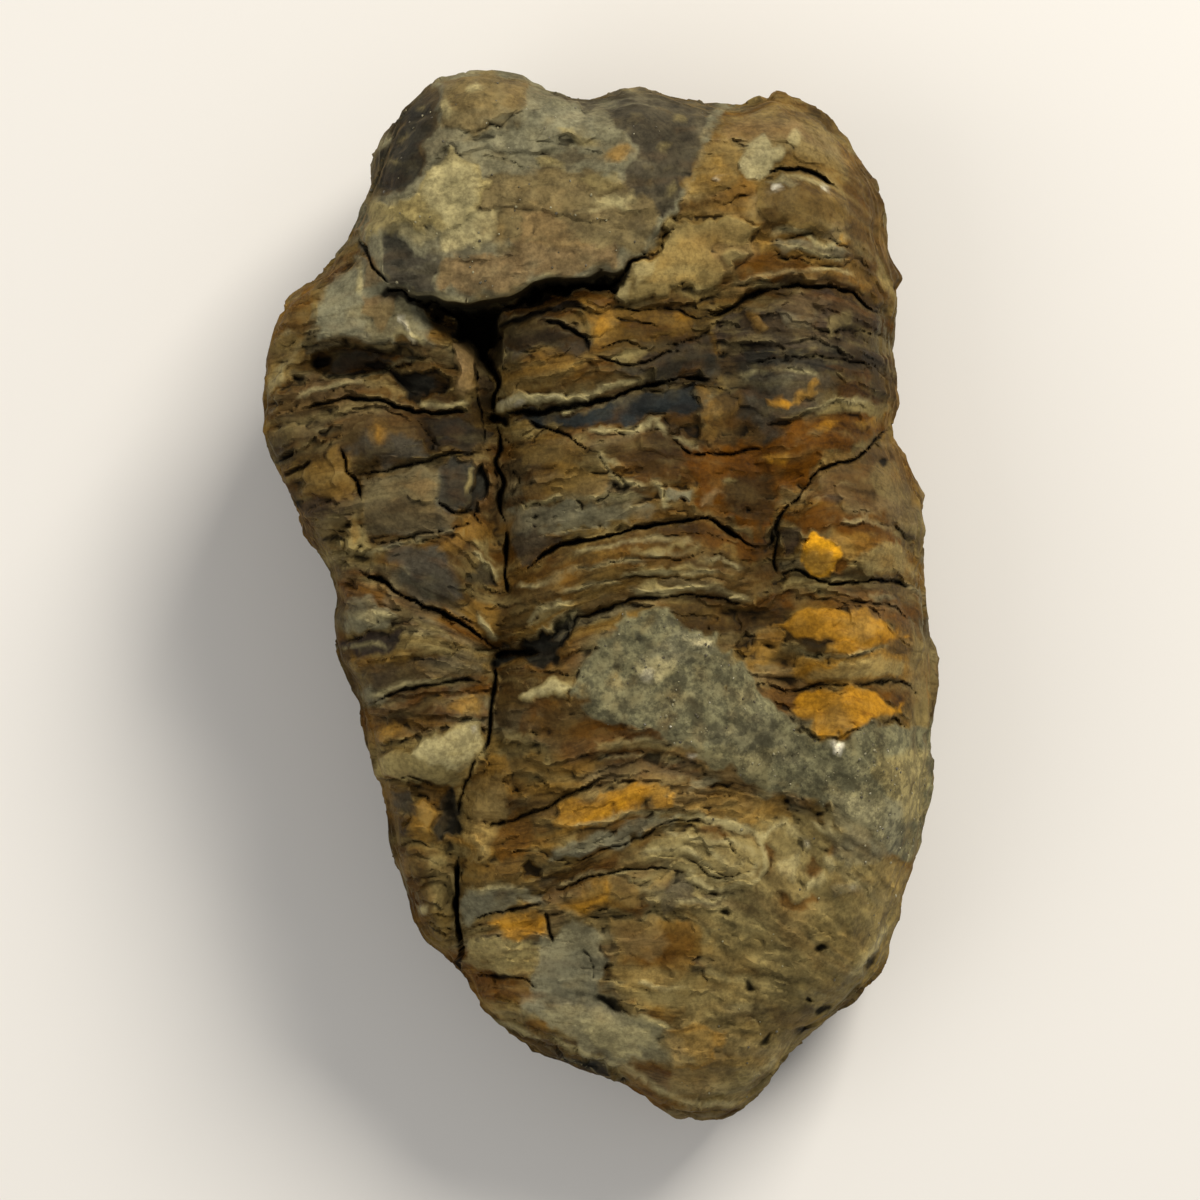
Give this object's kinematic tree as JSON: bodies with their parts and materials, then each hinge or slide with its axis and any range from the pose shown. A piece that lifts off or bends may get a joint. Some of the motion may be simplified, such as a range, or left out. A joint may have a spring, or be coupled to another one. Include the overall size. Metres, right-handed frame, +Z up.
{
  "type": "fossil trilobite",
  "caption": "Loose fossil trilobite turned to stone: a cracked, ribbed back with three lobes and a broken head slab, flat rough belly to lie on.",
  "frame": {"origin": "middle of the footprint, at the height of the surface that the fossil lies on", "axes": "+Y from the tail to the head, +X to the animal's right, +Z up from the belly to the back"},
  "size_m": [0.0372, 0.0584, 0.0205],
  "materials": {
    "fossil_stone": "matte"
  },
  "bodies": {
    "root": {"trilobite": "fossil_stone"}
  },
  "joints": []
}
